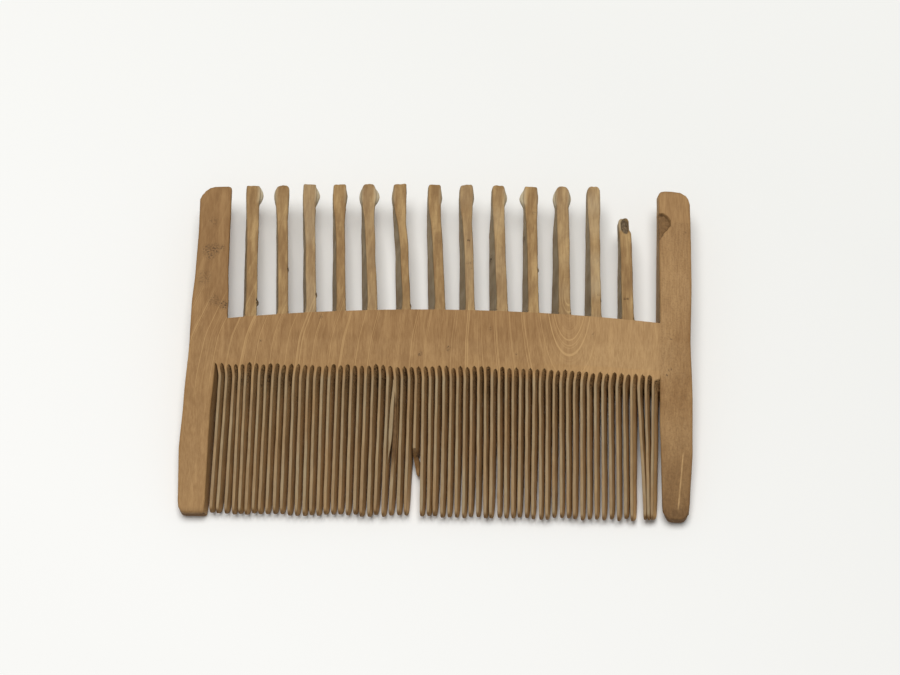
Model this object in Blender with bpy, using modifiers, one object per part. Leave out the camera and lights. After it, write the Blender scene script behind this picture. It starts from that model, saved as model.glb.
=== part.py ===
"""Double-sided wooden comb: one sawn board, coarse teeth on one long side, fine teeth on the other.

+X runs along the spine, +Y points to the coarse teeth, +Z is up. The comb rests on the back of its
fine-toothed side, so the front of the coarse side comes out level and the front of the fine side
slopes down towards -Y. Lengths are in metres.
"""
import math

import bmesh
import bpy

MM = 0.001

# the board
HALF_LENGTH = 45.10 * MM
FINE_EDGE = -30.00 * MM
COARSE_EDGE = 30.50 * MM
RIDGE_Y = 1.28 * MM          # the two facets of each face meet along this line
SPINE_THICK = 8.00 * MM
FINE_TIP_THICK = 2.80 * MM
COARSE_TIP_THICK = 3.00 * MM
SEAM = 0.30 * MM

# coarse teeth, measured on the front face, in mm and degrees: centre at the root, at mid-length and
# at the bulge below the tip; width at mid-length; height of the tip; lean through the thickness
COARSE_TEETH = (
    (-33.02, -33.20, -33.51, 2.04, 29.80, 8.5),
    (-27.33, -27.75, -28.22, 1.82, 29.95, 7.0),
    (-22.38, -22.85, -23.37, 1.80, 30.25, 8.0),
    (-17.10, -17.49, -17.96, 1.62, 30.30, 9.5),
    (-11.49, -12.12, -12.72, 1.70, 30.40, 11.0),
    (-5.52, -6.10, -7.10, 1.45, 30.45, 11.5),
    (0.46, -0.12, -0.87, 1.80, 30.45, 11.5),
    (5.77, 5.42, 4.84, 1.60, 30.50, 10.0),
    (11.45, 11.00, 10.61, 1.93, 30.40, 11.0),
    (16.94, 16.75, 16.44, 1.87, 30.25, 8.0),
    (22.50, 22.33, 22.10, 2.08, 30.35, 9.0),
    (28.06, 27.92, 27.74, 1.80, 30.40, 7.0),
    (33.64, 33.49, 33.08, 2.05, 24.50, 3.0),
)
COARSE_FILLET = 0.45         # how much wider a tooth is where it meets the spine
COARSE_MID_Y = 17.6
COARSE_BULGE_Y = 27.2
COARSE_BULGE_WIDTH = 2.45

# fine teeth: even pitch along X, cut at a slight slant in plan and leaning through the thickness
FINE_COUNT = 63
FINE_PER_GROUP = 3
FINE_PITCH = 1.241 * MM
FINE_FIRST_X = -38.81 * MM
FINE_DATUM_Y = -13.2 * MM    # the height at which the pitch is measured
FINE_WIDTH = 0.58 * MM
FINE_TIP_WIDTH = 0.66 * MM
FINE_TIP_Y = (-29.35 * MM, -29.70 * MM)    # first and last tooth
FINE_SLANT_FIRST = 0.030
FINE_SLANT_LAST = -0.005
FINE_LEAN = math.tan(math.radians(10.0))
SLOT_POINT = 1.2 * MM        # length over which a slot opens from its pointed end
FINE_ROOT_STRIP = 0.90 * MM
STUB_TOOTH = 29
STUB_END_Y = -22.6 * MM

# guard teeth at the four corners, as plan outlines in mm on the front face: each runs from the root
# down the outside edge, round the tip and back up the inside edge; the root corners sit on the seam
LEFT_COARSE_OUTER = (
    (-43.38, None), (-43.10, 13.4), (-42.90, 20.9), (-42.95, 26.6), (-42.55, 27.5), (-41.60, 28.6),
    (-40.40, 29.3),
)
LEFT_COARSE_INNER = ((-37.60, 29.45), (-37.35, 28.8), (-37.35, 17.2), (-37.10, None))
RIGHT_COARSE_OUTER = (
    (44.80, None), (45.10, 22.0), (45.10, 26.4), (44.75, 27.6), (43.90, 28.8), (42.60, 29.4),
)
RIGHT_COARSE_INNER = ((39.95, 29.50), (39.40, 28.7), (39.35, 18.0), (39.35, None))
LEFT_FINE_OUTER = (
    (-43.85, None), (-44.47, -10.2), (-45.10, -18.9), (-45.00, -25.0), (-44.85, -28.0),
    (-44.50, -29.0), (-43.60, -29.70),
)
LEFT_FINE_INNER = ((-40.35, -29.70), (-40.15, -27.5), (-39.90, -18.7), (-39.77, -13.2), (-39.45, None))
RIGHT_FINE_OUTER = (
    (44.85, None), (45.00, -9.2), (44.97, -17.9), (44.45, -26.5), (44.10, -28.6), (43.20, -29.95),
)
RIGHT_FINE_INNER = (
    (40.90, -30.00), (39.95, -29.0), (39.60, -26.5), (39.38, -18.7), (39.17, -13.2), (39.28, None),
)
LEFT_COARSE_LEAN = math.tan(math.radians(8.5))
RIGHT_COARSE_LEAN = math.tan(math.radians(2.0))

WOOD = (0.33, 0.19, 0.088, 1.0)
WOOD_COARSE = (0.29, 0.165, 0.075, 1.0)
WOOD_FINE = (0.37, 0.235, 0.12, 1.0)
WOOD_GUARD = (0.35, 0.20, 0.085, 1.0)

EPS = 1.0 * MM               # how far the sawn outlines run past the faces of the board


def wipe():
    for block in list(bpy.data.objects):
        bpy.data.objects.remove(block, do_unlink=True)
    for coll in list(bpy.data.collections):
        bpy.data.collections.remove(coll)


def collection(name):
    coll = bpy.data.collections.new(name)
    bpy.context.scene.collection.children.link(coll)
    return coll


def finish(mesh, colour, name):
    mat = bpy.data.materials.new(name)
    mat.use_nodes = True
    shader = mat.node_tree.nodes["Principled BSDF"]
    shader.inputs["Base Color"].default_value = colour
    shader.inputs["Roughness"].default_value = 0.6
    mesh.materials.append(mat)


def front_height(y):
    """Height of the front face: level on the coarse side, falling away from the ridge on the fine side."""
    return SPINE_THICK - (SPINE_THICK - FINE_TIP_THICK) / (RIDGE_Y - FINE_EDGE) * max(0.0, RIDGE_Y - y)


def solid(name, outline, lean, coll, span):
    """Extrude a plan outline between two heights; each corner slides along X with depth by its lean.

    The outline lies on the front face. lean is one number for the whole outline or one number per
    corner; span is (bottom, top)."""
    leans = lean if isinstance(lean, (list, tuple)) else [lean] * len(outline)
    bottom, top = span
    bm = bmesh.new()
    face = bm.faces.new([
        bm.verts.new((x + k * (front_height(y) - bottom), y, bottom)) for (x, y), k in zip(outline, leans)
    ])
    low = list(face.verts)
    out = bmesh.ops.extrude_face_region(bm, geom=[face])
    high = [v for v in out["geom"] if isinstance(v, bmesh.types.BMVert)]
    for v in high:
        twin = min(low, key=lambda w: (w.co - v.co).length)
        k = leans[low.index(twin)]
        v.co.z = top
        v.co.x = twin.co.x - k * (top - bottom)
    bmesh.ops.recalc_face_normals(bm, faces=bm.faces)
    mesh = bpy.data.meshes.new(name)
    bm.to_mesh(mesh)
    bm.free()
    obj = bpy.data.objects.new(name, mesh)
    coll.objects.link(obj)
    return obj


def section_bar(coll):
    """The planed board in cross-section: two flat facets on each face, meeting at the ridge."""
    over = 2.0 * MM
    fine_slope = (SPINE_THICK - FINE_TIP_THICK) / (RIDGE_Y - FINE_EDGE)
    coarse_slope = (SPINE_THICK - COARSE_TIP_THICK) / (COARSE_EDGE - RIDGE_Y)
    fine_y, coarse_y = FINE_EDGE - over, COARSE_EDGE + over
    section = (
        (fine_y, 0.0),
        (RIDGE_Y, 0.0),
        (coarse_y, coarse_slope * (coarse_y - RIDGE_Y)),
        (coarse_y, SPINE_THICK),
        (RIDGE_Y, SPINE_THICK),
        (fine_y, SPINE_THICK - fine_slope * (RIDGE_Y - fine_y)),
    )
    bm = bmesh.new()
    x0 = -HALF_LENGTH - 5 * MM
    face = bm.faces.new([bm.verts.new((x0, y, z)) for y, z in section])
    out = bmesh.ops.extrude_face_region(bm, geom=[face])
    moved = [v for v in out["geom"] if isinstance(v, bmesh.types.BMVert)]
    bmesh.ops.translate(bm, verts=moved, vec=(2 * (HALF_LENGTH + 5 * MM), 0, 0))
    bmesh.ops.recalc_face_normals(bm, faces=bm.faces)
    mesh = bpy.data.meshes.new("section_bar")
    bm.to_mesh(mesh)
    bm.free()
    bar = bpy.data.objects.new("section_bar", mesh)
    coll.objects.link(bar)
    bar.hide_render = True
    bar.display_type = "WIRE"
    return bar


def cut_to_section(obj, bar, edge_break=0.0):
    """Plane the sawn piece down to the board's section, then break its sharp edges."""
    cut = obj.modifiers.new("section", "BOOLEAN")
    cut.operation = "INTERSECT"
    cut.solver = "EXACT"
    cut.object = bar
    if edge_break:
        bev = obj.modifiers.new("edges", "BEVEL")
        bev.width = edge_break
        bev.segments = 1
        bev.limit_method = "ANGLE"
        bev.angle_limit = math.radians(35)
    return obj


def coarse_slot_end(x):
    """Y of the closed ends of the coarse slots: a shallow arc, highest near the middle."""
    return 6.48 * MM - 1.4 * (x - 1.0 * MM) ** 2


def fine_slot_end(x):
    """Y of the pointed ends of the fine slots: level, then dropping towards +X."""
    return -3.30 * MM - 0.9 * max(0.0, x) ** 2


def fine_x(i, y):
    """Centre of fine tooth i (from 0) on the front face at height y."""
    slant = FINE_SLANT_FIRST + (FINE_SLANT_LAST - FINE_SLANT_FIRST) * i / (FINE_COUNT - 1)
    return FINE_FIRST_X + i * FINE_PITCH + slant * (y - FINE_DATUM_Y)


def spine(parts, bar):
    """The uncut bar across the whole comb, between the two rows of slots."""
    outline = []
    steps = 16
    fine_top = SEAM + FINE_ROOT_STRIP
    for k in range(steps + 1):
        x = -43.85 * MM + k * (45.0 + 43.85) * MM / steps
        outline.append((x, fine_slot_end(x) + fine_top))
    for k in range(steps + 1):
        x = 45.0 * MM - k * (45.0 + 43.35) * MM / steps
        outline.append((x, coarse_slot_end(x) - SEAM))
    return cut_to_section(solid("spine", outline, 0.0, parts, (-EPS, SPINE_THICK + EPS)), bar)


def coarse_axis(n, y):
    """Centre of coarse tooth n on the front face at height y, all in mm."""
    root_x, mid_x, bulge_x = COARSE_TEETH[n - 1][:3]
    root_y = coarse_slot_end(root_x * MM) / MM
    if y < COARSE_MID_Y:
        return root_x + (mid_x - root_x) * (y - root_y) / (COARSE_MID_Y - root_y)
    return mid_x + (bulge_x - mid_x) * (y - COARSE_MID_Y) / (COARSE_BULGE_Y - COARSE_MID_Y)


def coarse_tooth(n, parts, bar):
    root_x, _, _, width, tip_y, lean = COARSE_TEETH[n - 1]
    root_y = coarse_slot_end(root_x * MM) / MM
    stations = [
        (root_y, width + COARSE_FILLET),
        (root_y + 1.2, width + 0.05),
        (COARSE_MID_Y, width),
        (COARSE_BULGE_Y - 4.0, width + 0.2),
        (COARSE_BULGE_Y, COARSE_BULGE_WIDTH),
    ]
    stations = [s for s in stations if s[0] < tip_y - 1.2]
    stations += [(tip_y - 0.8, COARSE_BULGE_WIDTH - 0.15), (tip_y, COARSE_BULGE_WIDTH - 0.6)]
    outline = [((coarse_axis(n, y) - w / 2) * MM, y * MM) for y, w in stations]
    outline += [((coarse_axis(n, y) + w / 2) * MM, y * MM) for y, w in reversed(stations)]
    slide = -math.tan(math.radians(lean))
    obj = solid(f"coarse_tooth_{n:02d}", outline, slide, parts, (-EPS, SPINE_THICK + EPS))
    return cut_to_section(obj, bar, 0.18 * MM)


def fine_group(g, parts, bar):
    """Three fine teeth on a narrow strip of the spine, as one comb-shaped outline."""
    first = g * FINE_PER_GROUP
    teeth = range(first, first + FINE_PER_GROUP)
    root_y = fine_slot_end(fine_x(first + 1, 0.0))
    strip_y = root_y + FINE_ROOT_STRIP
    edge = FINE_PITCH / 2 - SEAM / 2
    outline = [(fine_x(teeth[0], strip_y) - edge, strip_y), (fine_x(teeth[0], root_y) - edge, root_y)]
    for i in teeth:
        first_tip, last_tip = FINE_TIP_Y
        tip_y = first_tip + (last_tip - first_tip) * i / (FINE_COUNT - 1)
        if i + 1 == STUB_TOOTH:
            tip_y = STUB_END_Y
        sides = [
            (root_y - SLOT_POINT, FINE_WIDTH / 2),
            (tip_y + 1.4 * MM, FINE_TIP_WIDTH / 2),
            (tip_y, FINE_TIP_WIDTH / 4),
        ]
        outline += [(fine_x(i, y) - w, y) for y, w in sides]
        outline += [(fine_x(i, y) + w, y) for y, w in reversed(sides)]
        if i != teeth[-1]:
            outline.append((fine_x(i + 0.5, root_y), root_y))
    outline += [(fine_x(teeth[-1], root_y) + edge, root_y), (fine_x(teeth[-1], strip_y) + edge, strip_y)]
    obj = solid(f"fine_teeth_{g + 1:02d}", outline, FINE_LEAN, parts, (-EPS, SPINE_THICK + EPS))
    return cut_to_section(obj, bar)


def guard(name, outer, inner, inner_lean, seam, parts, bar):
    """A corner tooth: upright outside edge, inside edge leaning like the row it protects."""
    points = [(x * MM, seam(x * MM) if y is None else y * MM) for x, y in outer + inner]
    leans = [0.0] * len(outer) + [inner_lean] * len(inner)
    obj = solid(name, points, leans, parts, (-EPS, SPINE_THICK + EPS))
    return cut_to_section(obj, bar, 0.3 * MM)


def main():
    wipe()
    parts = collection("wooden_comb")
    cutters = collection("cutters")
    bar = section_bar(cutters)

    made = [(spine(parts, bar), WOOD)]

    def fine_seam(x):
        return fine_slot_end(x) + FINE_ROOT_STRIP

    for name, outer, inner, lean, seam in (
        ("guard_left_coarse", LEFT_COARSE_OUTER, LEFT_COARSE_INNER, -LEFT_COARSE_LEAN, coarse_slot_end),
        ("guard_right_coarse", RIGHT_COARSE_OUTER, RIGHT_COARSE_INNER, -RIGHT_COARSE_LEAN, coarse_slot_end),
        ("guard_left_fine", LEFT_FINE_OUTER, LEFT_FINE_INNER, FINE_LEAN, fine_seam),
        ("guard_right_fine", RIGHT_FINE_OUTER, RIGHT_FINE_INNER, FINE_LEAN, fine_seam),
    ):
        made.append((guard(name, outer, inner, lean, seam, parts, bar), WOOD_GUARD))

    for n in range(1, len(COARSE_TEETH) + 1):
        made.append((coarse_tooth(n, parts, bar), WOOD_COARSE))
    for g in range(FINE_COUNT // FINE_PER_GROUP):
        made.append((fine_group(g, parts, bar), WOOD_FINE))

    for obj, colour in made:
        finish(obj.data, colour, f"{obj.name}_wood")


main()
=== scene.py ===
"""Looks for the double-sided wooden comb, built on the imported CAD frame.

Lengths are worked in millimetres in the CAD's own frame and turned into metres when a mesh is made.
+X runs along the spine, +Y towards the coarse teeth, +Z up out of the front face.
"""

import math
import random

import bpy
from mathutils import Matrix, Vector, noise


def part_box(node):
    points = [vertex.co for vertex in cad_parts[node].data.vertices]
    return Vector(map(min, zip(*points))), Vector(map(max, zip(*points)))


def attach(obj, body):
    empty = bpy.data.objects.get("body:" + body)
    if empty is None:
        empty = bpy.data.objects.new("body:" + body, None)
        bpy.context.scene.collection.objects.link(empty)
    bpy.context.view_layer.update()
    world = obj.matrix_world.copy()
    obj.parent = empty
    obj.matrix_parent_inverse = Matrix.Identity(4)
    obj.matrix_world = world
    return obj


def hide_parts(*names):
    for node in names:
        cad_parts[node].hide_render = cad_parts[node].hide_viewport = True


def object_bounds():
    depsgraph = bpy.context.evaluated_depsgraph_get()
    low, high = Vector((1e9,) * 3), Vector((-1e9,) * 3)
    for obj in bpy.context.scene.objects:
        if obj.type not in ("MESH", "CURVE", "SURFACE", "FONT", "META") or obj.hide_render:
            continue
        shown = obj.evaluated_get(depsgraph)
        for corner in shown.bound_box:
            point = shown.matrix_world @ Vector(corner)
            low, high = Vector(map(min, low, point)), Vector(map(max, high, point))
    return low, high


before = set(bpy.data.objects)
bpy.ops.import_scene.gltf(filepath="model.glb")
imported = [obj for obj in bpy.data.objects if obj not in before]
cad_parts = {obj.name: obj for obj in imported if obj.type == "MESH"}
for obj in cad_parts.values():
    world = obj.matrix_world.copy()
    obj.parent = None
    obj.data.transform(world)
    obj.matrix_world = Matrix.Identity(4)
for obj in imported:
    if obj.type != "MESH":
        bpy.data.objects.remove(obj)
cad_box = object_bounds()

MM = 0.001


# ---------------------------------------------------------------- what the frame says

def box_mm(node):
    lo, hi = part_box(node)
    return lo / MM, hi / MM


def vertices_mm(node):
    """The distinct corners of a CAD node."""
    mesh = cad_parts[node].data
    return sorted({tuple(round(c / MM, 3) for c in v.co) for v in mesh.vertices})


THICK = cad_box[1].z / MM
FINE_EDGE = cad_box[0].y / MM
COARSE_EDGE = cad_box[1].y / MM
# the ridge is where the flat back of the fine side ends
RIDGE = max(y for x, y, z in vertices_mm("spine") if z < 0.01)
FINE_TIP_THICK = 2.8
COARSE_TIP_THICK = 3.0
FINE_SLOPE = (THICK - FINE_TIP_THICK) / (RIDGE - FINE_EDGE)
COARSE_SLOPE = (THICK - COARSE_TIP_THICK) / (COARSE_EDGE - RIDGE)
FINE_LEAN = math.tan(math.radians(10.0))
CAD_BEVEL = 0.18
COARSE_TEETH = [f"coarse_tooth_{n:02d}" for n in range(1, 14)]
FINE_GROUPS = [f"fine_teeth_{n:02d}" for n in range(1, 22)]


def front_corners(node):
    """(x, y) of a node's corners on the front face."""
    found = set()
    for x, y, z in vertices_mm(node):
        if abs(z - (THICK - FINE_SLOPE * max(0.0, RIDGE - y))) < 0.03:
            found.add((x, y))
    return sorted(found)


def rows_of(node, count):
    """The heights at which a node's front face has exactly `count` corners, highest first."""
    rows = {}
    for x, y in front_corners(node):
        rows.setdefault(round(y, 2), []).append(x)
    return [(y, sorted(xs)) for y, xs in sorted(rows.items(), reverse=True) if len(xs) == count]


def station(node, y):
    """Centre and width of a coarse tooth's front face at height y, and its slide along X with depth."""
    near = [v for v in vertices_mm(node) if abs(v[1] - y) < 0.5]
    top, low = max(v[2] for v in near), min(v[2] for v in near)
    upper = [x for x, _, z in near if z > top - 0.02]
    lower = [x for x, _, z in near if z < low + 0.12]
    centre = (min(upper) + max(upper)) / 2
    slide = ((min(lower) + max(lower)) / 2 - centre) / (top - low)
    return centre, max(upper) - min(upper) + 2 * CAD_BEVEL, slide


# ---------------------------------------------------------------- small curves

def clamp(t, low=0.0, high=1.0):
    return max(low, min(high, t))


def smooth(t):
    t = clamp(t)
    return t * t * (3 - 2 * t)


def lerp(a, b, t):
    return a + (b - a) * t


def bell(x, centre, width):
    return math.exp(-((x - centre) / width) ** 2)


def along(points):
    """A smooth function through (place, value) points, flat beyond the two ends."""
    points = sorted(points)

    def value(p):
        if p <= points[0][0]:
            return points[0][1]
        for (p0, v0), (p1, v1) in zip(points, points[1:]):
            if p <= p1:
                return lerp(v0, v1, smooth((p - p0) / (p1 - p0)) * 0.5 + 0.5 * (p - p0) / (p1 - p0))
        return points[-1][1]

    return value


def ramp(t, softness):
    """max(0, t) with its corner rounded."""
    return 0.5 * (t + math.sqrt(t * t + softness * softness))


def wander(a, b, seed):
    """Smooth noise from about -1 to 1."""
    return noise.noise(Vector((a, b, seed * 7.31 + 0.5)))


# ---------------------------------------------------------------- the planed board

RIDGE_SOFT = 1.3


def front(x, y):
    """Height of the front face: two facets meeting at a worn ridge, with a hand-planed waviness."""
    drop = FINE_SLOPE * ramp(RIDGE - y, RIDGE_SOFT)
    wavy = 0.05 * wander(x * 0.11, y * 0.05, 1) + 0.02 * wander(x * 0.5, y * 0.12, 2)
    return THICK - 0.03 - drop + wavy


def back(x, y):
    """Height of the back face, which lies on the floor along the fine side."""
    rise = COARSE_SLOPE * ramp(y - RIDGE, RIDGE_SOFT)
    wavy = 0.04 * (1 + wander(x * 0.12, y * 0.05, 3)) + 0.015 * (1 + wander(x * 0.5, y * 0.12, 4))
    return rise + wavy


FAR = 9                          # more than any rounding radius, for an edge that plays no part


def rounded_drop(inset_u, inset_v, radius):
    """How far a face falls away near an edge rounded by radius, from the distances to two edges."""
    qu = max(0.0, 1 - inset_u / radius)
    qv = max(0.0, 1 - inset_v / radius)
    q = min(1.0, math.hypot(qu, qv))
    return radius * (1 - math.sqrt(1 - q * q))


def spread(count, pinch):
    """Steps from 0 to 1, closer together at both ends; pinch 0 is even."""
    steps = []
    for k in range(count + 1):
        t = k / count
        steps.append(lerp(t, 0.5 - 0.5 * math.cos(math.pi * t), pinch))
    return steps


SHARP_ANGLE = math.radians(38)


class Shells:
    """Closed bodies gathered into one mesh."""

    # the first mark darkens for soiling and painted shade, the second lightens for wear and painted light,
    # the third darkens for soot and one painted shadow, the fourth greys weathered wood
    MARKS = ("grime_and_shade", "pale", "soot_and_shadow", "grey")

    def __init__(self):
        self.verts, self.faces, self.marks = [], [], []

    def add(self, us, vs, plan, heights, levels=(0.2, 0.4, 0.6, 0.8), wall=None, shade=None):
        """One solid over a plan grid: a front sheet, a back sheet and the walls between their edges.

        plan(u, v) gives (x, y); heights(u, v, x, y) gives (top, bottom, slide); wall(u, v, s, co) may
        move a wall point, s running from 0 at the front to 1 at the back; shade(u, v, s, co) gives the
        marks, of which the last may be left out."""
        nu, nv = len(us), len(vs)

        def place(u, v, s):
            x, y = plan(u, v)
            top, bottom, slide = heights(u, v, x, y)
            z = lerp(top, bottom, s)
            co = [x + slide * (top - z), y, z]
            if wall and 0 < s < 1:
                co = wall(u, v, s, co)
            self.verts.append(Vector(co) * MM)
            self.marks.append((*(shade(u, v, s, co) if shade else ()), 0.0, 0.0, 0.0, 0.0))
            return len(self.verts) - 1

        top, low = ([[place(u, v, s) for v in vs] for u in us] for s in (0.0, 1.0))
        for i in range(nu - 1):
            for j in range(nv - 1):
                self.faces.append((top[i][j], top[i + 1][j], top[i + 1][j + 1], top[i][j + 1]))
                self.faces.append((low[i][j], low[i][j + 1], low[i + 1][j + 1], low[i + 1][j]))
        rim = [(i, 0) for i in range(nu)] + [(nu - 1, j) for j in range(1, nv)]
        rim += [(i, nv - 1) for i in range(nu - 2, -1, -1)] + [(0, j) for j in range(nv - 2, 0, -1)]
        bands = [[top[i][j] for i, j in rim]]
        bands += [[place(us[i], vs[j], level) for i, j in rim] for level in levels]
        bands.append([low[i][j] for i, j in rim])
        for a, b in zip(bands, bands[1:]):
            for k in range(len(rim)):
                n = (k + 1) % len(rim)
                self.faces.append((a[k], b[k], b[n], a[n]))

    def piece(self, name):
        mesh = bpy.data.meshes.new(name)
        mesh.from_pydata(self.verts, [], self.faces)
        for index, layer in enumerate(self.MARKS):
            attribute = mesh.attributes.new(layer, "FLOAT", "POINT")
            attribute.data.foreach_set("value", [m[index] for m in self.marks])
        mesh.polygons.foreach_set("use_smooth", [True] * len(mesh.polygons))
        mesh.set_sharp_from_angle(angle=SHARP_ANGLE)
        mesh.update()
        piece = bpy.data.objects.new(name, mesh)
        bpy.context.scene.collection.objects.link(piece)
        return piece


def blots(x, y, spots):
    """Strength at (x, y) of a set of round spots, each (x, y, radius, strength)."""
    return max((k * smooth(1.6 - math.hypot(x - a, y - b) / r) for a, b, r, k in spots), default=0.0)


def adopt(piece, material, slot, *nodes):
    """Give a piece its wood and let it stand for CAD nodes."""
    piece.data.materials.append(material)
    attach(piece, "root")
    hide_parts(*nodes)


# ---------------------------------------------------------------- materials

class Nodes:
    """Short words for building a node tree."""

    def __init__(self, material):
        material.use_nodes = True
        self.tree = material.node_tree
        self.shader = self.tree.nodes["Principled BSDF"]

    def add(self, kind, **settings):
        node = self.tree.nodes.new(kind)
        for key, value in settings.items():
            setattr(node, key, value)
        return node

    def wire(self, source, target):
        if isinstance(source, (int, float, tuple)):
            target.default_value = source
        else:
            self.tree.links.new(source, target)

    def math(self, operation, a, b=0.0, c=0.0, clamped=False):
        node = self.add("ShaderNodeMath", operation=operation, use_clamp=clamped)
        for value, socket in zip((a, b, c), node.inputs):
            self.wire(value, socket)
        return node.outputs[0]

    def vector(self, operation, a, b):
        node = self.add("ShaderNodeVectorMath", operation=operation)
        self.wire(a, node.inputs[0])
        self.wire(b, node.inputs[1])
        return node.outputs[0]

    def noise(self, where, detail, rough=0.55, colour=False):
        node = self.add("ShaderNodeTexNoise")
        self.wire(where, node.inputs["Vector"])
        node.inputs["Scale"].default_value = 1.0
        node.inputs["Detail"].default_value = detail
        node.inputs["Roughness"].default_value = rough
        return node.outputs["Color" if colour else "Fac"]

    def span(self, value, low, high, to_low=0.0, to_high=1.0, kind="SMOOTHSTEP"):
        node = self.add("ShaderNodeMapRange", interpolation_type=kind)
        for v, socket in zip((value, low, high, to_low, to_high), node.inputs):
            self.wire(v, socket)
        return node.outputs[0]

    def mix(self, amount, a, b):
        """Colour a turning into colour b; sockets 6 and 7 are the mix node's two colours."""
        node = self.add("ShaderNodeMix", data_type="RGBA")
        self.wire(amount, node.inputs["Factor"])
        self.wire(a, node.inputs[6])
        self.wire(b, node.inputs[7])
        return node.outputs[2]

    def attribute(self, name):
        return self.add("ShaderNodeAttribute", attribute_name=name).outputs["Fac"]


def srgb(r, g, b):
    """An 8-bit screen colour as scene-linear RGBA."""
    def linear(c):
        c /= 255
        return c / 12.92 if c <= 0.04045 else ((c + 0.055) / 1.055) ** 2.4
    return (linear(r), linear(g), linear(b), 1.0)


RING_STEP, RING_PHASE = 2.45, 0.47
RING_LEAN = (0.44, 0.05)         # slope of the ring lines near the left-hand end and right of the middle
RING_DIP = 3.7
CURL_X, CURL_Y = 23.5, 10.0      # the rings curl round a branch near the right-hand end
GRAIN_FADE_X = (25.0, 31.0)      # the ring lines die out towards the right-hand end


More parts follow.
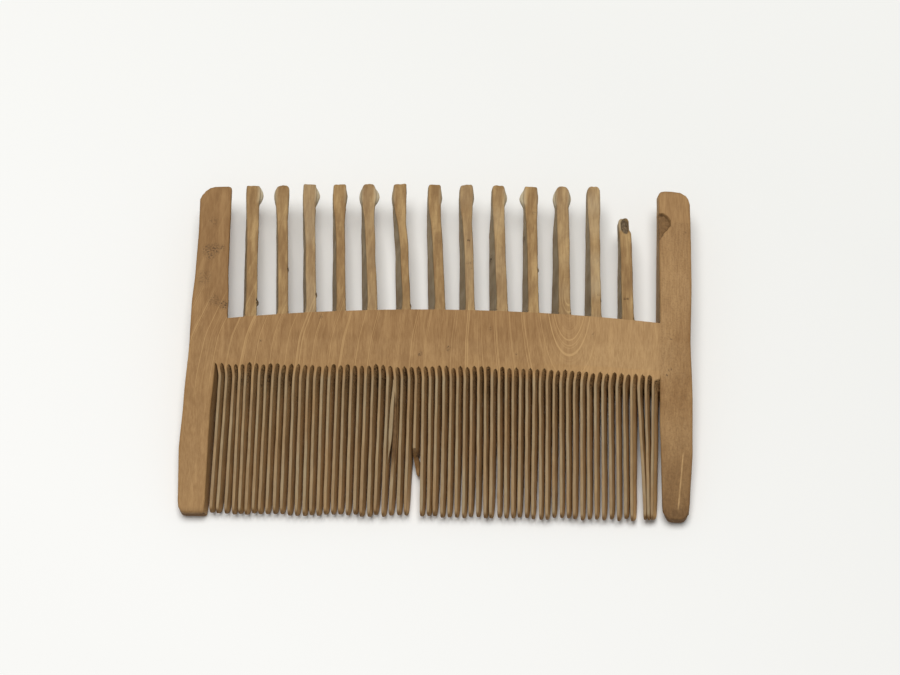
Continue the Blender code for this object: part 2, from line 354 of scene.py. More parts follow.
def wood(name, body, deep, light, grime_and_shade, rubbed_and_lit, filed=0.0):
    """Old boxwood-like timber: ring lines, fibres along the teeth, mottling, and marks for wear, soiling,
    painted shade and painted light.
    """
    material = bpy.data.materials.new(name)
    n = Nodes(material)
    where = n.add("ShaderNodeTexCoord").outputs["Object"]
    p = n.vector("MULTIPLY", where, (1000, 1000, 1000))
    drift = n.noise(n.vector("MULTIPLY", p, (0.07, 0.035, 0.07)), detail=1.5, colour=True)
    warp = n.vector("SUBTRACT", drift, (0.5, 0.5, 0.5))
    bent = n.vector("ADD", p, n.vector("MULTIPLY", warp, (1.6, 0.0, 0.22)))
    axes = n.add("ShaderNodeSeparateXYZ")
    n.wire(bent, axes.inputs[0])
    x, y, z = axes.outputs

    # growth rings: sheets leaning to the right, then curling round a branch
    depth = n.math("MULTIPLY_ADD", n.math("SUBTRACT", THICK, z), RING_DIP, y)
    lean = n.span(x, -40.0, 18.0, *RING_LEAN, kind="LINEAR")
    sheet = n.math("SUBTRACT", x, n.math("MULTIPLY", lean, depth))
    side = n.math("SUBTRACT", x, CURL_X)
    height = n.math("MULTIPLY", n.math("SUBTRACT", y, CURL_Y), 0.36)
    curl = n.math("SQRT", n.math("ADD", n.math("MULTIPLY", side, side), n.math("MULTIPLY", height, height)))
    towards_curl = n.span(x, 1.0, 10.0)
    across_rings = n.math("ADD", n.math("MULTIPLY", sheet, n.math("SUBTRACT", 1.0, towards_curl)),
                          n.math("MULTIPLY", n.math("SUBTRACT", CURL_X, curl), towards_curl))
    uneven = n.add("ShaderNodeTexNoise", noise_dimensions="1D")
    n.wire(n.math("MULTIPLY", across_rings, 0.4), uneven.inputs["W"])
    ring = n.math("MULTIPLY_ADD", uneven.outputs["Fac"], 0.9, n.math("DIVIDE", across_rings, RING_STEP))
    ring = n.math("ADD", ring, RING_PHASE)
    phase = n.math("FRACT", ring)
    line = n.span(n.math("PINGPONG", ring, 0.5), 0.0, 0.07, 1.0, 0.0)
    between = n.span(n.math("PINGPONG", n.math("MULTIPLY", ring, 3.0), 0.5), 0.0, 0.16, 0.25, 0.0)
    line = n.math("MAXIMUM", line, between)
    patchy = n.span(n.noise(n.vector("MULTIPLY", p, (0.09, 0.06, 0.09)), detail=2), 0.36, 0.58, 0.55, 1.0)
    line = n.math("MULTIPLY", line, patchy)
    line = n.math("MULTIPLY", line, n.span(x, *GRAIN_FADE_X, 1.0, 0.12))
    from_bar = n.math("ABSOLUTE", n.math("SUBTRACT", y, 1.0))
    line = n.math("MULTIPLY", line, n.span(from_bar, 5.0, 11.0, 1.0, 0.15))

    # fibres run along the teeth
    fibre = n.noise(n.vector("MULTIPLY", p, (4.0, 0.42, 4.0)), detail=6, rough=0.66)
    broad = n.noise(n.vector("MULTIPLY", p, (0.8, 0.10, 0.8)), detail=4, rough=0.6)
    mottle = n.noise(n.vector("MULTIPLY", p, (0.35, 0.22, 0.35)), detail=5, rough=0.6)
    speck = n.noise(n.vector("MULTIPLY", p, (2.6, 2.0, 2.6)), detail=4, rough=0.7)
    across = n.noise(n.vector("MULTIPLY", p, (0.5, 4.5, 0.5)), detail=3, rough=0.6)

    colour = n.mix(n.span(fibre, 0.30, 0.72, 0.30, 1.0), deep, body)
    colour = n.mix(n.span(broad, 0.42, 0.72, 0.0, 0.45 + filed), colour, light)
    colour = n.mix(n.math("MULTIPLY", phase, 0.26), colour, deep)
    colour = n.mix(n.span(mottle, 0.46, 0.74, 0.0, 0.55), colour, deep)
    colour = n.mix(n.math("MULTIPLY", line, 0.8), colour, light)
    colour = n.mix(n.span(speck, 0.62, 0.80, 0.0, 0.45), colour, grime_and_shade)
    if filed:
        blotch = n.noise(n.vector("MULTIPLY", p, (1.1, 0.26, 1.1)), detail=5, rough=0.65)
        colour = n.mix(n.span(blotch, 0.50, 0.68, 0.0, filed), colour, light)
        colour = n.mix(n.span(blotch, 0.50, 0.34, 0.0, filed), colour, deep)
        colour = n.mix(n.span(across, 0.56, 0.74, 0.0, filed), colour, deep)

    ragged = n.noise(n.vector("MULTIPLY", p, (1.6, 1.0, 1.6)), detail=5, rough=0.65)
    # darkening mark: real soiling, and painted shade on the tooth flanks
    dirt_and_shade = n.math("MULTIPLY", n.attribute("grime_and_shade"), n.span(ragged, 0.28, 0.66, 0.7, 1.2), clamped=True)
    colour = n.mix(dirt_and_shade, colour, grime_and_shade)
    # lightening mark: worn wood, and painted light on the shaded flanks, a painted highlight on the flared
    # coarse tips, and painted light on the fine-side facet
    pale = n.math("MULTIPLY", n.attribute("pale"), n.span(fibre, 0.3, 0.7, 0.7, 1.15), clamped=True)
    colour = n.mix(pale, colour, n.mix(n.attribute("grey"), rubbed_and_lit, WEATHERED))
    specks = n.noise(n.vector("MULTIPLY", p, (3.4, 3.0, 3.4)), detail=4, rough=0.65)
    soot_and_shadow = n.math("MULTIPLY", n.attribute("soot_and_shadow"), n.span(specks, 0.46, 0.62, 0.12, 1.7), clamped=True)
    colour = n.mix(soot_and_shadow, colour, SOOT_AND_SHADOW)
    n.wire(colour, n.shader.inputs["Base Color"])

    rough = n.span(fibre, 0.3, 0.7, 0.66, 0.54, kind="LINEAR")
    n.wire(n.math("MULTIPLY_ADD", dirt_and_shade, 0.2, rough), n.shader.inputs["Roughness"])
    n.shader.inputs["Specular IOR Level"].default_value = 0.15

    grain = n.math("ADD", n.math("MULTIPLY", fibre, 0.7), n.math("MULTIPLY", broad, 0.5))
    grain = n.math("MULTIPLY_ADD", speck, 0.4, grain)
    grain = n.math("MULTIPLY_ADD", across, filed, grain)
    bump = n.add("ShaderNodeBump")
    bump.inputs["Strength"].default_value = 0.5
    bump.inputs["Distance"].default_value = 0.00012
    n.wire(grain, bump.inputs["Height"])
    n.wire(bump.outputs[0], n.shader.inputs["Normal"])
    return material


# dark colour for soot and specks, also used for one painted shadow at the chip rim
SOOT_AND_SHADOW = srgb(58, 40, 26)
WEATHERED = srgb(158, 146, 118)
HEARTWOOD = {"body": srgb(155, 118, 74), "deep": srgb(128, 93, 55), "light": srgb(184, 147, 98)}
# The pale colours of PLANED and FINE stand for worn wood and also for painted light on shaded flanks, inner
# guard walls and the fine-side facet.
PLANED = wood("planed_wood", **HEARTWOOD, grime_and_shade=srgb(86, 60, 36), rubbed_and_lit=srgb(196, 160, 112))
# COARSE: its darkening colour is the grey of the flanks as seen in shade, painted shade as well as soiling;
# its pale colour is the sheen of the flared tips, a painted highlight, as well as worn faces.
COARSE = wood("coarse_tooth_wood", body=srgb(156, 123, 78), deep=srgb(124, 93, 57),
              light=srgb(188, 156, 106), grime_and_shade=srgb(118, 102, 80), rubbed_and_lit=srgb(198, 184, 154), filed=0.35)
FINE = wood("fine_tooth_wood", **HEARTWOOD, grime_and_shade=srgb(92, 64, 36), rubbed_and_lit=srgb(200, 161, 110))


# ---------------------------------------------------------------- plan of the board

def coarse_slot_end(x):
    """Y of the closed ends of the coarse slots."""
    return 6.48 - 0.0014 * (x - 1.0) ** 2


def fine_root(x):
    """Y of a line just above the pointed ends of the fine slots."""
    return -2.75 - 0.0009 * max(0.0, x) ** 2


def bar_wear_and_light(x, y):
    """How much paler the bar has worn towards its right-hand end, plus painted light on its fine side, whose
    facet tilts away from the softbox.
    """
    return 0.36 * smooth((x - 16) / 14) * smooth((44.5 - x) / 8) + 0.12 * smooth((1.5 - y) / 1.5)


LEFT_OUT = along([(-29.7, -44.7), (-27, -44.95), (-18.7, -45.05), (-10, -44.45), (0.5, -43.70), (7, -43.62),
                  (13.4, -43.20), (21, -42.95), (27, -42.97)])
LEFT_IN = along([(-29.7, -40.35), (-27.3, -40.15), (-18.5, -39.9), (-13, -39.72), (-5, -39.10),
                 (-2.75, -38.95), (4.2, -37.15), (8, -37.10), (14, -37.35), (29.2, -37.35)])
RIGHT_IN = along([(-30, 39.85), (-26.5, 39.6), (-18.5, 39.4), (-13, 39.2), (-5, 39.25), (-3.9, 39.25),
                  (4.2, 39.35), (29, 39.4)])
RIGHT_OUT = along([(-30, 44.0), (-28, 44.3), (-26.5, 44.45), (-18, 44.95), (-9, 45.0), (1, 44.68),
                   (12, 45.05), (22, 45.08), (28, 45.0)])


# how far the inner walls of the coarse guard teeth slide along X per mm of depth
LEFT_COARSE_SLIDE = -math.tan(math.radians(8.5))
RIGHT_COARSE_SLIDE = -math.tan(math.radians(2.0))


def guard(name, outer, inner, outer_first, tip_coarse, tip_fine, coarse_slide, nodes, worn, handled, spots,
          chip=None, crack=None):
    """One end of the board: both corner teeth and the end of the spine between them.

    outer and inner give X along its two edges; outer_first is True where the outer edge is the left one.
    tip_coarse and tip_fine are (place across, Y) points of its two ends. worn(y) and handled(y) give how
    pale and how dirty its faces are. chip and crack give the strength of a damage at (x, y)."""
    us = spread(46, 0.8)
    vs = spread(300, 0.45)
    left, right = (outer, inner) if outer_first else (inner, outer)
    top_y, low_y = along(tip_coarse), along(tip_fine)

    def plan(u, v):
        y = lerp(low_y(u), top_y(u), v)
        return lerp(left(y), right(y), u), y

    def edge_radius(inner_side, y):
        in_spine = smooth((y + (3.6 if outer_first else 5.4)) / 0.8) * smooth((5.2 - y) / 0.8)
        return lerp(0.32, 0.002, in_spine) if inner_side else 0.42

    def heights(u, v, x, y):
        length = top_y(u) - low_y(u)
        width = right(y) - left(y)
        tip = min(v, 1 - v) * length
        drop = 0.0
        for distance, side in ((u * width, 0), ((1 - u) * width, 1)):
            is_inner = (side == 1) == outer_first
            drop = max(drop, rounded_drop(distance, tip, edge_radius(is_inner, y)))
        top, bottom = front(x, y) - drop, back(x, y) + drop
        if chip:
            top -= 0.7 * chip(x, y) * (1 + 0.35 * wander(x * 2, y * 2, 21))
        if crack:
            top -= 0.12 * crack(x, y)
        toward_inner = u if outer_first else 1 - u
        slide = (FINE_LEAN if y < 0 else coarse_slide) * smooth((abs(y - 1) - 3) / 2) * smooth(toward_inner)
        return top, bottom, slide

    def wall(u, v, s, co):
        rough = 0.05 * wander(co[1] * 0.4, co[2] * 0.9, 11)
        direction = (1 if u > 0.5 else -1) if 0 < v < 1 else 0
        return [co[0] + direction * (rough + 0.12 * math.sin(math.pi * s)), co[1], co[2]]

    def shade(u, v, s, co):
        inner_wall = (u if outer_first else 1 - u) > 0.999 and 0 < s < 1
        grime_and_shade = 0.15 if inner_wall else 0.15 * (0 < s < 1)
        if v in (0, 1) and 0 < s < 1:
            grime_and_shade = 0.7
        ends = smooth((abs(co[1]) - 28.6) / 0.9) * 0.35
        soot_and_shadow = blots(co[0], co[1], spots) if s == 0 else 0.0
        if chip and s < 0.5:
            torn = chip(co[0], co[1])
            grime_and_shade = max(grime_and_shade, 0.7 * smooth(torn * 3) * (1 + 0.3 * wander(co[0] * 3, co[1] * 2, 22)))
            # painted shadow: a dark band along the lower rim of the chip
            soot_and_shadow = max(soot_and_shadow, 0.5 * bell(torn, 0.25, 0.2) * (co[1] < 23.4))
        in_bar = smooth((co[1] + 7) / 3) * smooth((8 - co[1]) / 3)
        # painted light: the shaded inner walls are coloured paler; on the faces, worn paleness plus the
        # bar's painted light on its fine side
        pale = 0.45 * inner_wall if 0 < s < 1 else worn(co[1]) + in_bar * bar_wear_and_light(co[0], co[1])
        if crack and s == 0:
            pale = max(pale, crack(co[0], co[1]))
        return max(grime_and_shade, ends, 0.0 if 0 < s < 1 else handled(co[1])), pale, soot_and_shadow

    body = Shells()
    body.add(us, vs, plan, heights, [k / 8 for k in range(1, 8)], wall, shade)
    adopt(body.piece(name), PLANED, "planed_wood", *nodes)


def guard_chip(x, y):
    """Outline of the splinter broken out of the right-hand coarse guard tooth, from 0 outside to 1."""
    reach = (x - 39.3) / 2.2
    low, high = 19.8 + 3.1 * reach, 25.3 - 1.7 * max(0.0, reach) ** 3
    low, high = low + 0.3 * wander(x * 1.7, 3.0, 23), high + 0.3 * wander(x * 1.9, 7.0, 24)
    return smooth(min(y - low, high - y) / 0.45) * (reach < 1)


def guard_check(x, y):
    """The pale drying crack low on the right-hand fine guard tooth."""
    middle = 42.35 + 0.092 * (y + 28.5)
    return bell(x, middle, 0.13) * smooth((y + 28.6) / 1.2) * smooth((-17.5 - y) / 1.5)


SPINE_SPOTS = ((2.0, -0.6, 0.28, 0.9), (-3.0, -1.6, 0.3, 0.7), (-20.6, 4.9, 0.3, 0.5), (9.4, 3.0, 0.22, 0.5),
               (14.0, -1.4, 0.2, 0.5), (-31.2, 0.4, 0.22, 0.5), (27.5, 2.2, 0.25, 0.4))


def spine():
    """The uncut bar between the two rows, from guard to guard."""
    us, vs = spread(430, 0.0), spread(26, 0.6)

    def plan(u, v):
        x = lerp(-38.0, 38.9, u)
        for _ in range(3):
            y = lerp(fine_root(x), coarse_slot_end(x), v)
            x = lerp(LEFT_IN(y), RIGHT_IN(y), u)
        return x, y

    def heights(u, v, x, y):
        return front(x, y), back(x, y), 0.0

    def shade(u, v, s, co):
        if 0 < s < 1:
            return 0.5, 0.0, 0.0
        return 0.0, bar_wear_and_light(co[0], co[1]), blots(co[0], co[1], SPINE_SPOTS) * (s == 0)

    body = Shells()
    body.add(us, vs, plan, heights, (0.25, 0.5, 0.75), None, shade)
    adopt(body.piece("spine_bar"), PLANED, "planed_wood", "spine")


# ---------------------------------------------------------------- coarse teeth

# width in mm of the facet that flares out below each tip, on the left and on the right; its pale colour is a
# painted highlight
FINS = {1: (0.0, 0.72), 2: (0.36, 0.05), 3: (0.0, 0.72), 4: (0.0, 0.25), 5: (0.42, 0.82), 6: (0.25, 0.0),
        7: (0.0, 0.3), 8: (0.05, 0.25), 9: (0.0, 0.5), 10: (0.75, 0.15), 11: (0.5, 0.45), 12: (0.05, 0.0),
        13: (0.0, 0.0)}
# lumps of dirt stuck to the flanks: (side, height, size)
LUMPS = {1: ((1, 7.7, 0.42),), 2: ((1, 13.9, 0.16),), 3: ((1, 9.2, 0.26),), 6: ((1, 7.3, 0.3),),
         9: ((-1, 17.2, 0.2),), 10: ((1, 14.3, 0.34), (-1, 21.0, 0.12)), 12: ((1, 8.6, 0.2),)}
# short dark cracks across the face: (height, from, to) with the width of the tooth from 0 to 1
CRACKS = {8: ((15.3, 0.1, 0.9), (14.3, 0.5, 0.9), (19.6, 0.4, 0.7)),
          10: ((24.9, 0.5, 1.0), (19.0, 0.1, 0.3)),
          13: ((8.9, 0.15, 0.6), (13.9, 0.75, 1.0)), 7: ((19.2, 0.5, 0.8),), 12: ((9.6, 0.6, 1.0),)}
# teeth whose faces have worn paler
PALE_FACES = {3: 0.22, 5: 0.12, 8: 0.12, 9: 0.12, 11: 0.1, 12: 0.26, 13: 0.32}
# radius of the corners of each tip
TIP_ROUND = (0.35, 1.0, 0.35, 0.55, 0.95, 0.4, 0.55, 0.65, 0.75, 0.5, 1.15, 1.05, 0.95)
BROKEN_TOOTH = 13
MID_Y = 17.6
BULGE_Y = 28.0
COARSE_WALL_LEVELS = (0.06, 0.14, 0.24, 0.34, 0.44, 0.6, 0.8)    # closer together near the front


def swell_at(y):
    """How far the flare below a coarse tip stands out at height y, from 0 to 1."""
    return clamp(1 - abs((y - BULGE_Y) / 1.7) ** 1.6)


def coarse_tooth(n, node):
    """One coarse tooth: narrow at the root, swelling below the tip, with dirt and cracks of its own."""
    rng = random.Random(100 + n)
    lo, hi = box_mm(node)
    root_y, tip_y = lo.y - 0.25, hi.y + 0.02
    broken = n == BROKEN_TOOTH
    stations = [lo.y + 1.2, MID_Y, tip_y - 0.8 if broken else 27.2]
    centre_at = along([(y, station(node, y)[0]) for y in stations])
    _, face, slide = station(node, MID_Y)
    us = spread(18, 0.8)
    vs = [k / 96 for k in range(94)] + [0.983, 0.988, 0.992, 0.996, 0.9985, 1.0]
    width = along([(root_y, face + 0.40), (root_y + 0.5, face + 0.15), (root_y + 1.8, face), (MID_Y, face),
                   (22.5, face + 0.12), (26.3, 2.28), (28.0, 2.38), (30.4, 2.25)])
    sway = rng.uniform(0, 10)
    fin_left, fin_right = FINS[n]
    tip_tilt = rng.uniform(-0.2, 0.2)
    embed = 0.5

    def plan(u, v):
        end = tip_y + tip_tilt * (u - 0.5) + 0.12 * wander(u * 2.2, sway, 30) - 0.08
        y = lerp(root_y - embed, end, v)
        centre = centre_at(y) + 0.07 * wander(y * 0.16, sway, 31)
        corner = 0.8 * rounded_drop(end - y, FAR, TIP_ROUND[n - 1])
        uneven = 0.045 * wander(y * 0.35, sway, 32) + 0.02 * wander(y * 1.6, sway, 38)
        w = width(y) * (1 + uneven) - 2 * corner
        if broken:
            w -= 0.35 * smooth((y - tip_y + 3.2) / 0.8)
        swell = 0.25 * swell_at(y)
        flare = swell * lerp(-fin_left, fin_right, u)
        return centre + (u - 0.5) * w + flare - 0.12 * broken * smooth((y - tip_y + 3.2) / 0.8), y

    def scar(u, y):
        """Hollow left where the tip of the broken tooth tore away, from 0 at its rim to 1."""
        return clamp(1 - ((u - 0.57) / 0.37) ** 2 - ((y - tip_y + 1.75) / 1.6) ** 2)

    def heights(u, v, x, y):
        radius = lerp(0.004, 0.2, smooth((y - root_y) / 1.2))
        tip = (1 - v) * (tip_y - root_y)
        drop = rounded_drop(min(u, 1 - u) * width(y), tip, radius)
        drop += 0.35 * rounded_drop(FAR, tip, 1.1)
        sunk = 0.06 * (y < root_y)
        lift = 0.08 * wander(y * 0.2, sway, 33) * smooth((y - root_y) / 4)
        top = front(x, y) - drop - sunk + lift - 0.04
        if broken:
            top -= 0.7 * math.sqrt(scar(u, y)) + 0.5 * smooth((y - tip_y + 3.4) / 2.6)
        for at, a, b in CRACKS.get(n, ()):
            top -= 0.10 * bell(y, at, 0.09) * (a < u < b)
        towards_tip = smooth((y - tip_y + 9) / 6)
        under = rounded_drop(min(u, 1 - u) * width(y), tip, 0.2 + 0.9 * towards_tip)
        return top, back(x, y) + drop + sunk + under, slide * (1 - 0.55 * towards_tip)

    def wall(u, v, s, co):
        x, y, z = co
        if 0 < v < 1:
            side = 1 if u > 0.5 else -1
            fin = fin_right if side > 0 else fin_left
            x += side * 0.75 * fin * swell_at(y) * smooth(s / 0.36) * smooth((1 - s) / 0.3)
            x += side * (0.05 * wander(y * 0.8, z * 1.5, 34 + n) + 0.03 * wander(y * 3.0, z * 0.8, 37 + n))
            for lump_side, at, size in LUMPS.get(n, ()):
                if side == lump_side:
                    x += side * size * bell(y, at, 0.36) * bell(s, 0.2 if side > 0 else 0.9, 0.22)
        return [x, y, z]

    def shade(u, v, s, co):
        y, on_wall = co[1], 0 < s < 1
        side = 1 if u > 0.5 else -1
        fin = fin_right if side > 0 else fin_left
        # painted highlight: the flared walls below the tip and the face beside them are coloured pale
        facet = on_wall * smooth((2.0 - abs(y - BULGE_Y)) / 0.5) * clamp(fin * 2.5)
        if not on_wall:
            near_fin = smooth((1.9 - abs(y - BULGE_Y)) / 0.8)
            facet = 0.45 * near_fin * max(clamp(fin_left * 1.6) * smooth(1 - u / 0.3),
                                          clamp(fin_right * 1.6) * smooth(1 - (1 - u) / 0.3))
        tone = PALE_FACES.get(n, 0.0) * clamp(0.7 + wander(y * 0.25, n * 3.1, 35))
        # painted light: every flank is coloured pale from 0.46 up; faces take their worn tone
        facet = max(facet, 0.46 + 0.3 * wander(y * 0.6, n * 3.1 + s, 36) if on_wall else tone)
        # painted shade and soiling: the flanks take half of the grey darkening colour; faces darken towards
        # their edges
        grime_and_shade = 0.5 if on_wall else 0.45 * smooth(1 - min(u, 1 - u) / 0.13)
        grime_and_shade *= 1 - facet
        soot_and_shadow = 0.45 * bell(y, root_y + 0.4, 0.5) * (u < 0.1 or u > 0.9) * (s < 0.6)
        for lump_side, at, size in LUMPS.get(n, ()):
            if side == lump_side and (on_wall and (s < 0.4) == (side > 0) or side > 0 and u > 0.88):
                soot_and_shadow = max(soot_and_shadow, 0.95 * bell(y, at, 0.5))
        for at, a, b in CRACKS.get(n, ()):
            if s == 0 and a < u < b:
                soot_and_shadow = max(soot_and_shadow, 0.55 * bell(y, at, 0.16))
        if v > 0.998 and on_wall:
            grime_and_shade = 0.8
        if broken and not on_wall:
            rim = smooth((y - tip_y + 3.0) / 0.7)
            torn = smooth(scar(u, y) * 5)
            grime_and_shade = max(grime_and_shade, 0.45 * rim, torn)
            soot_and_shadow = max(soot_and_shadow, 0.5 * torn, 0.55 * smooth((y - tip_y + 0.4) / 0.3))
            facet = 0.3 * rim * (scar(u, y) <= 0) * smooth((0.5 - u) / 0.25)
        return grime_and_shade, facet, soot_and_shadow

    body = Shells()
    body.add(us, vs, plan, heights, COARSE_WALL_LEVELS, wall, shade)
    adopt(body.piece(f"{node}_carved"), COARSE, "coarse_tooth_wood", node)


# ---------------------------------------------------------------- fine teeth

def fine_lines():
    """(node, upper, lower) for each fine tooth: two points of its centre line on the front face."""
    lines = []
    for node in FINE_GROUPS:
        y0, upper = rows_of(node, 2 * TEETH_PER_GROUP)[0]
        tips = [c for c in front_corners(node) if c[1] < y0 - 5]
        for k in range(TEETH_PER_GROUP):
            own = tips[4 * k:4 * k + 4]
            middle = [sum(c[axis] for c in own) / 4 for axis in (0, 1)]
            lines.append((node, ((upper[2 * k] + upper[2 * k + 1]) / 2, y0), tuple(middle)))
    return lines


# how far the teeth stray from even spacing, near the roots and at the tips: (tooth, shift in mm),
# good to about 0.1 mm
STRAY_ROOT = along([(1, 0.40), (3, 0.38), (5, 0.03), (10, -0.19), (16, -0.22), (20, 0.0), (27, 0.33),
                    (31, 0.30), (36, 0.25), (40, 0.08), (45, 0.02), (50, -0.26), (55, -0.36), (60, -0.26),
                    (63, -0.10)])
STRAY_TIP = along([(1, 0.18), (2, 0.10), (4, 0.27), (7, 0.0), (10, -0.06), (16, 0.10), (20, 0.16),
                   (24, 0.09), (27, 0.30), (30, 0.52), (35, 0.42), (40, 0.42), (45, 0.12), (50, -0.02),
                   (55, -0.24), (58, -0.06), (60, -0.20)])
# teeth whose tips lean their own way, and teeth whose flanks spread wider than the rest
LEANING_TIPS = {26: 0.20, 59: 0.00, 60: -0.16, 61: 0.88, 62: 0.22, 63: -0.42}
SPREAD_BASE = {60: 0.22, 63: 0.25}
TEETH_PER_GROUP = 3
LAST_TOOTH = TEETH_PER_GROUP * len(FINE_GROUPS)
SPLIT_TOOTH = 26
SPLINTER_BEND = along([(-7, 0.20), (-11.5, -0.06), (-16.7, -0.20), (-20.8, -0.46)])
STUB_TOOTH = 29
SLOT_RAMP = 0.42                 # the saw left each slot's closed end sloping, by this much per mm of depth
STUB_BREAK = (-18.5, -22.5)      # the stub tears off at a slant, between these heights


def fine_tooth(shells, i, upper, lower, pitch):
    """One fine tooth, joined to its neighbours above the closed ends of the slots and free below them."""
    number = i + 1
    rng = random.Random(500 + i)
    (xa, ya), (xb, yb) = upper, lower
    start_y = fine_root(xa)
    tip_y = -29.55 - 0.33 * i / (LAST_TOOTH - 1) + rng.uniform(-0.2, 0.2)
    if number == STUB_TOOTH:
        tip_y = STUB_BREAK[1]
    stray_root = STRAY_ROOT(number) + rng.gauss(0, 0.03)
    stray_tip = LEANING_TIPS.get(number, STRAY_TIP(number) + rng.gauss(0, 0.06))
    wobble = rng.uniform(0, 50)
    face = rng.uniform(0.42, 0.49)
    tip_face = rng.uniform(0.53, 0.62)
    dirty = rng.uniform(0.1, 0.6)
    packed = rng.choice((0.1, 0.35, 0.7))
    opens = [start_y - 1.05 + 0.45 * wander(k * 0.9, 0.3, 41) for k in (i, i + 1)]
    closed = [pitch / 2 + 0.004, pitch / 2 + 0.004]
    if number == LAST_TOOTH:
        opens[1] -= 0.4
        closed[1] = RIGHT_IN(start_y) - xa + 0.03
    slot_ends = [0.42 + 0.3 * wander(k * 1.7, 0.8, 47) for k in (i, i + 1)]
    us = [0.0, 0.06, 0.16, 0.3, 0.5, 0.7, 0.84, 0.94, 1.0]
    embed = 0.4
    seam = embed / (embed + start_y - tip_y)
    vs = [0.0, seam - 0.0008, seam] + [seam + 0.0075 * k for k in range(1, 19)]
    vs += [0.18 + 0.04 * k for k in range(19)] + [0.93, 0.95, 0.965, 0.978, 0.988, 0.995, 1.0]
    bulge = 0.13 + 0.12 * smooth((xa - 10) / 20) + SPREAD_BASE.get(number, 0.0)

    def centre(y):
        line = lerp(xa, xb, (ya - y) / (ya - yb))
        stray = lerp(stray_root, stray_tip, smooth((-7.0 - y) / 21.0) * 0.4 + 0.6 * clamp((-7.0 - y) / 21.0))
        free = smooth((start_y - 0.5 - y) / 3.0)
        if number == SPLIT_TOOTH:
            stray += 0.40 * bell(y, -15.5, 6.0)
        return line + stray * free + 0.05 * wander(y * 0.3, wobble, 42) * free

    def half(y, side, depth=0.0):
        slim = lerp(face, tip_face, smooth((-12 - y) / 15)) / 2
        slim -= rounded_drop(y - tip_y, FAR, 0.9) * 0.22 + 0.045 * smooth((tip_y + 3.0 - y) / 2.5)
        if number == SPLIT_TOOTH and side == 0:
            slim += 0.20 * bell(y, -15.5, 5.5)
        if number == STUB_TOOTH:
            torn = clamp((STUB_BREAK[0] - y) / 4)
            slim += -0.80 * torn if side == 0 else 0.55 * smooth(torn * 2.5)
        t = clamp((opens[side] - SLOT_RAMP * depth - y) / slot_ends[side])
        return lerp(closed[side], slim, math.sqrt(1 - (1 - t) ** 2))

    def plan(u, v):
        root = fine_root(xa + (u - 0.5) * pitch)
        y = lerp(root + embed, root, v / seam) if v < seam else lerp(root, tip_y, (v - seam) / (1 - seam))
        c = centre(y)
        return lerp(c - half(y, 0), c + half(y, 1), u), y

    def heights(u, v, x, y):
        side = 0 if u < 0.5 else 1
        radius = lerp(0.003, 0.10, smooth((opens[side] - y) / 1.4))
        tip = (1 - v) * (start_y - tip_y)
        w = half(y, 0) + half(y, 1)
        drop = rounded_drop(min(u, 1 - u) * w, FAR, radius) + rounded_drop(FAR, tip, 0.8)
        sunk = 0.05 * (v < seam)
        top, bottom = front(x, y) - drop - sunk, back(x, y) + 0.4 * drop + sunk
        bottom += 0.75 * rounded_drop(FAR, tip, 2.2)
        if number == SPLIT_TOOTH:
            top -= 0.8 * smooth((-8.0 - y) / 2.5) * smooth((y + 25) / 4)
        if number == STUB_TOOTH:
            torn = smooth((STUB_BREAK[0] - y) / 0.5) * 0.45 + 0.55 * clamp((STUB_BREAK[0] - y) / 4.5)
            top = lerp(top, bottom + 0.3, torn + 0.12 * wander(x * 3, y * 2, 43) * (torn > 0))
        return top, bottom, FINE_LEAN

    def wall(u, v, s, co):
        """The sawn flank opens out below the front face, so a slot is widest at the front."""
        x, y, z = co
        depth = THICK - FINE_SLOPE * max(0.0, RIDGE - y) - z
        free = smooth((opens[1] - y) / 2.0) * (0 < v < 1)
        if 0 < v < 1:
            side = 1 if u > 0.5 else 0
            x += (1 if side else -1) * (half(y, side, min(depth, 4.0)) - half(y, side))
        if u > 0.5:
            x += bulge * smooth(depth / 1.8) * free * smooth((1 - s) / 0.4)
        x += 0.03 * wander(y * 0.7, z + i * 3.1, 44) * free
        return [x, y, z]

    def shade(u, v, s, co):
        y = co[1]
        speckle = 0.28 * smooth((y + 16) / 9) * clamp(0.5 + 1.5 * wander(y * 1.3, i * 2.7 + s, 45))
        clogged = packed * smooth((y + 9.5) / 3) * clamp(0.8 + wander(y * 1.8, i * 2.7 + 3 * s, 49))
        speckle = max(speckle, clogged)
        sawn = smooth((opens[0] - y) / 2.5)
        if number == STUB_TOOTH and y < STUB_BREAK[0] + 0.3:
            edge = 0.45 * (u < 0.1)
            return 0.5, 0.2, max(0.7 * bell(y, STUB_BREAK[0] - 0.2, 0.35), edge)
        end = smooth((tip_y + 0.9 - y) / 0.7)
        if 0 < s < 1:
            streak = dirty * clamp(0.6 + 1.6 * wander(y * 0.28, i * 1.9 + 4.5 * s, 46))
            # painted light: the flanks, in the shade of the narrow slots, are coloured paler except where
            # streaked or near the tip
            flank_painted_light = smooth((opens[0] + 0.4 - y) / 0.6) * (1 - 0.75 * streak) * (1 - 0.6 * end)
            return max(0.75 * end, streak, 0.5 * (s < 0.12)), flank_painted_light, speckle
        peeled = 0.85 * (number == SPLIT_TOOTH) * smooth((-8.0 - y) / 2.5) * smooth((y + 24) / 5)
        pale = lerp(bar_wear_and_light(co[0], co[1]), 0.45 + 0.3 * wander(y * 0.15, i * 2.3, 48), sawn)
        return max(0.6 * end, peeled), pale * (1 - end) * (1 - peeled) * (s == 0), 0.15 * end, sawn

    shells.add(us, vs, plan, heights, (0.07, 0.16, 0.3, 0.6), wall, shade)


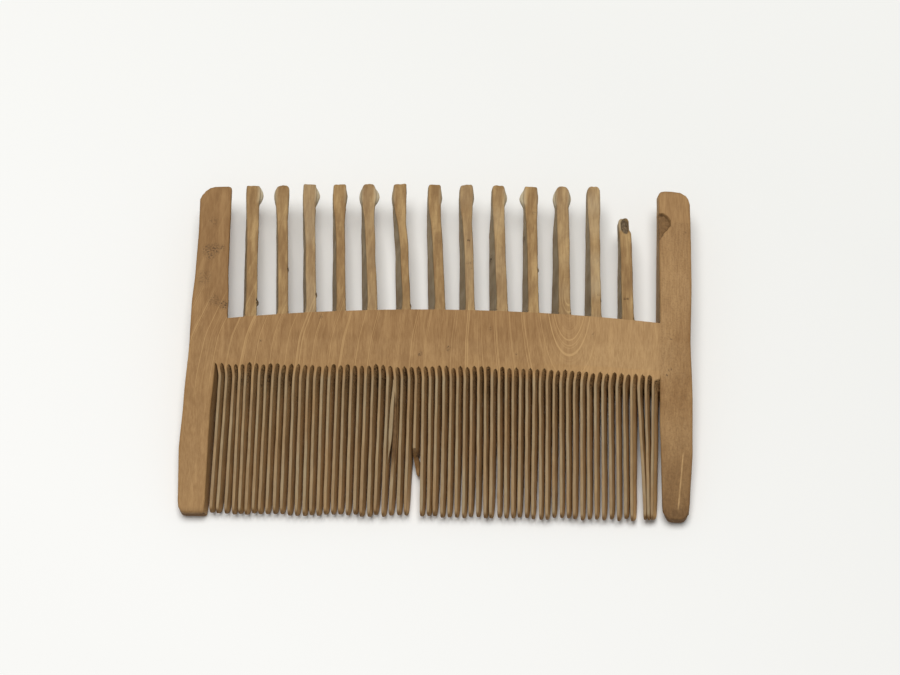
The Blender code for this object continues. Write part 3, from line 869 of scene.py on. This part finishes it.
def splinter(shells, upper, lower):
    """The sliver split off tooth 26, bent to the left and ending in a point."""
    (xa, ya), (xb, yb) = upper, lower
    start_y, end_y = -6.2, -20.7

    def plan(u, v):
        y = lerp(start_y, end_y, v)
        line = lerp(xa, xb, (ya - y) / (ya - yb))
        half = 0.20 + 0.13 * smooth(v / 0.45) - 0.31 * smooth((v - 0.6) / 0.4) ** 1.2
        return line + SPLINTER_BEND(y) + (u - 0.5) * 2 * max(half, 0.015), y

    def heights(u, v, x, y):
        top = front(x, y) - 0.02 - rounded_drop(min(u, 1 - u) * 0.6, FAR, 0.08)
        return top, top - lerp(1.2, 0.25, v), FINE_LEAN

    def shade(u, v, s, co):
        return (0.35 if 0 < s < 1 else 0.0), 0.55 * (s == 0), 0.0, 1.0

    shells.add([0, 0.1, 0.3, 0.7, 0.9, 1], [k / 30 for k in range(31)], plan, heights, (0.5,), None, shade)


def fine_row():
    lines = fine_lines()
    first, last = lines[0][1][0], lines[-1][1][0]
    pitch = (last - first) / (len(lines) - 1)
    for node in FINE_GROUPS:
        shells = Shells()
        for i, (owner, upper, lower) in enumerate(lines):
            if owner == node:
                fine_tooth(shells, i, upper, lower, pitch)
                if i + 1 == SPLIT_TOOTH:
                    splinter(shells, upper, lower)
        adopt(shells.piece(f"{node}_sawn"), FINE, "fine_tooth_wood", node)


# ---------------------------------------------------------------- floor, light and camera

FLOOR_SIZE = 3.0
FLOOR_Z = -0.02 * MM
FLOOR_LIT = (0.900, 0.893, 0.866, 1)    # painted light: the floor colour brightens towards the lower left, standing in for a fall of light
FLOOR_DIM = (0.826, 0.822, 0.791, 1)
FLOOR_SPAN = 0.11
COOL_WHITE = (0.99, 0.995, 1.0)
SKY_STRENGTH = 0.30
SOFTBOX_PLACE = (-0.05, 0.25, 1.15)
SOFTBOX_SIZE = (0.72, 0.60)
SOFTBOX_POWER = 12.2


def floor():
    bpy.ops.mesh.primitive_plane_add(size=FLOOR_SIZE, location=(0, 0, FLOOR_Z))
    plane = bpy.context.object
    plane.name = "floor"
    material = bpy.data.materials.new("floor_paper")
    n = Nodes(material)
    where = n.add("ShaderNodeTexCoord").outputs["Object"]
    axes = n.add("ShaderNodeSeparateXYZ")
    n.wire(where, axes.inputs[0])
    # painted light: a colour ramp across the floor stands in for a fall of light
    diagonal = n.math("MULTIPLY_ADD", axes.outputs[1], 1.5, axes.outputs[0])
    tone = n.span(diagonal, -FLOOR_SPAN, FLOOR_SPAN, kind="LINEAR")
    n.wire(n.mix(tone, FLOOR_LIT, FLOOR_DIM), n.shader.inputs["Base Color"])
    n.shader.inputs["Roughness"].default_value = 0.9
    n.shader.inputs["Specular IOR Level"].default_value = 0.1
    plane.data.materials.append(material)


def lights():
    world = bpy.data.worlds.new("studio")
    world.use_nodes = True
    sky = world.node_tree.nodes["Background"].inputs
    sky["Color"].default_value = (*COOL_WHITE, 1)
    sky["Strength"].default_value = SKY_STRENGTH
    bpy.context.scene.world = world

    softbox = bpy.data.lights.new("softbox", "AREA")
    softbox.shape = "RECTANGLE"
    softbox.size, softbox.size_y = SOFTBOX_SIZE
    softbox.energy = SOFTBOX_POWER
    softbox.color = COOL_WHITE
    light = bpy.data.objects.new("softbox", softbox)
    bpy.context.scene.collection.objects.link(light)
    light.location = SOFTBOX_PLACE
    light.rotation_mode = "QUATERNION"
    light.rotation_quaternion = (-Vector(SOFTBOX_PLACE)).to_track_quat("-Z", "Y")


CAMERA_ELEVATION = 72.0          # degrees above the floor
CAMERA_AZIMUTH = 0.7             # degrees round from -Y
CAMERA_DISTANCE = 0.420
CAMERA_AIM = Vector((2.23, 2.58, 4.0)) * MM
CAMERA_LENS = 94.4


def camera():
    elevation, azimuth = math.radians(CAMERA_ELEVATION), math.radians(CAMERA_AZIMUTH)
    away = Vector((math.sin(azimuth) * math.cos(elevation), -math.cos(azimuth) * math.cos(elevation),
                   math.sin(elevation)))
    data = bpy.data.cameras.new("camera")
    data.lens = CAMERA_LENS
    data.sensor_width = 36.0
    data.clip_start = 0.01
    cam = bpy.data.objects.new("camera", data)
    bpy.context.scene.collection.objects.link(cam)
    cam.location = CAMERA_AIM + away * CAMERA_DISTANCE
    cam.rotation_mode = "QUATERNION"
    cam.rotation_quaternion = (-away).to_track_quat("-Z", "Y")
    bpy.context.scene.camera = cam


guard("left_end", LEFT_OUT, LEFT_IN, outer_first=True,
      tip_coarse=[(0, 27.1), (0.08, 27.9), (0.2, 28.7), (0.33, 29.2), (0.48, 29.42), (0.9, 29.5),
                  (0.97, 29.35), (1, 29.05)],
      tip_fine=[(0, -28.5), (0.03, -29.05), (0.08, -29.4), (0.14, -29.6), (0.25, -29.7), (0.92, -29.7),
                (1, -29.5)],
      coarse_slide=LEFT_COARSE_SLIDE,
      nodes=("guard_left_coarse", "guard_left_fine"),
      worn=along([(-20, 0.24), (-8, 0.12), (-3, 0.0)]),
      handled=along([(4, 0.0), (12, 0.12)]),
      spots=((-41.0, 17.1, 1.0, 0.40), (-39.9, 17.4, 0.9, 0.45), (-40.6, 16.3, 0.8, 0.4),
             (-38.7, 17.6, 0.6, 0.3), (-40.4, 22.5, 0.8, 0.2), (-41.6, 12.0, 1.2, 0.22),
             (-39.6, 7.7, 0.9, 0.3), (-37.9, 6.9, 0.7, 0.6)))
guard("right_end", RIGHT_OUT, RIGHT_IN, outer_first=False,
      tip_coarse=[(0, 28.8), (0.03, 29.15), (0.09, 29.42), (0.2, 29.52), (0.4, 29.5), (0.68, 29.3),
                  (0.86, 28.75), (0.95, 28.1), (1, 27.2)],
      tip_fine=[(0, -28.4), (0.04, -29.0), (0.10, -29.4), (0.18, -29.7), (0.3, -29.88), (0.5, -29.93),
                (0.76, -29.9), (0.88, -29.75), (0.95, -29.4), (1, -28.8)],
      coarse_slide=RIGHT_COARSE_SLIDE,
      nodes=("guard_right_coarse", "guard_right_fine"),
      worn=along([(-22, 0.1), (-15, 0.25), (-9, 0.02), (2, 0.0), (10, 0.28), (22, 0.15)]),
      handled=along([(-29, 0.75), (-27, 0.5), (-18, 0.22), (-11, 0.0)]),
      spots=((41.0, -3.9, 0.22, 1.0), (40.5, -4.9, 0.16, 0.9), (43.9, 21.5, 0.3, 0.35),
             (40.2, 12.5, 0.25, 0.25), (41.2, 1.5, 0.2, 0.4)),
      chip=guard_chip, crack=guard_check)
spine()
for number, node_name in enumerate(COARSE_TEETH, start=1):
    coarse_tooth(number, node_name)
fine_row()
floor()
lights()
camera()
bpy.context.scene.view_settings.view_transform = "Standard"
